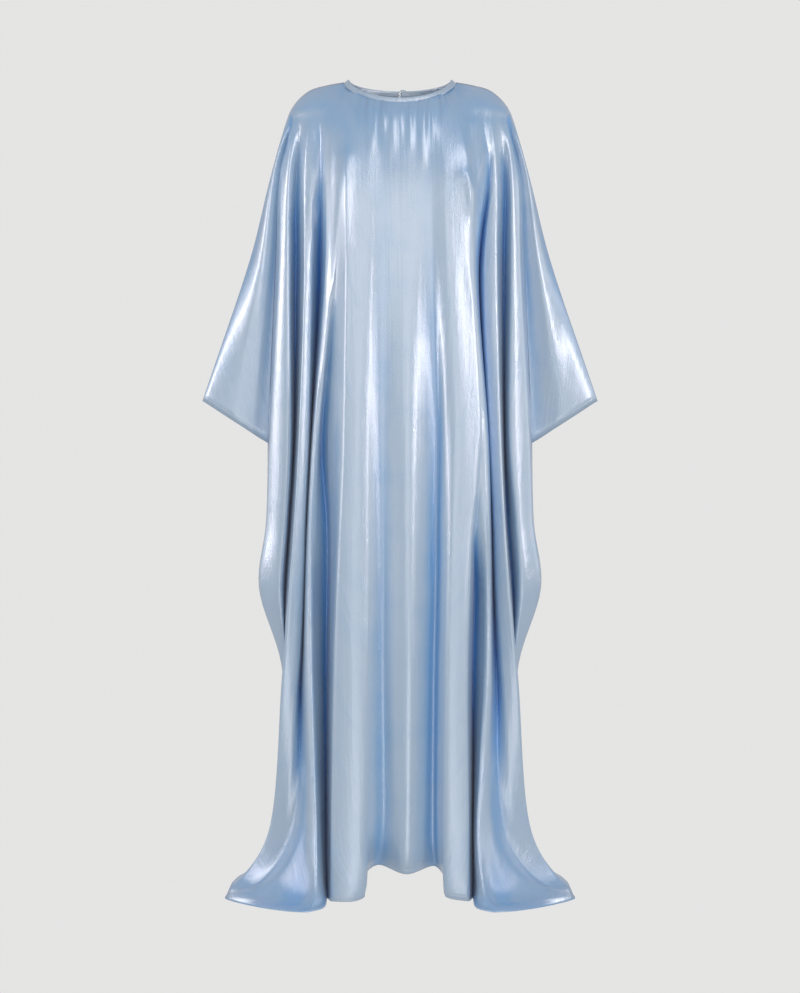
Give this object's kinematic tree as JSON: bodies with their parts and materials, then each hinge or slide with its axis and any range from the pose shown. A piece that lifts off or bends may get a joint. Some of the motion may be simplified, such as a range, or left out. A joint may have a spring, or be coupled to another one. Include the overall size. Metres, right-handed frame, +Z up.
{
  "type": "satin kaftan",
  "caption": "Full-length loose satin kaftan with batwing sleeves, a round bound neck, a buttoned slit at the back and a hem that runs out into small side trains.",
  "frame": {"origin": "where the wearer's shoulders carry the garment: the middle of the line joining the two high shoulder points of the neck", "axes": "+Z up, the front faces -Y, +X to the garment's left"},
  "size_m": [0.704, 0.41, 1.4467],
  "materials": {
    "satin": "glossy pale blue satin with a pearl sheen",
    "satin_band": "the same satin, folded and stitched into a narrow binding"
  },
  "bodies": {
    "root": {"front_panel": "satin", "back_panel": "satin", "neck_band": "satin_band", "button": "satin_band", "button_loop": "satin_band"}
  },
  "joints": []
}
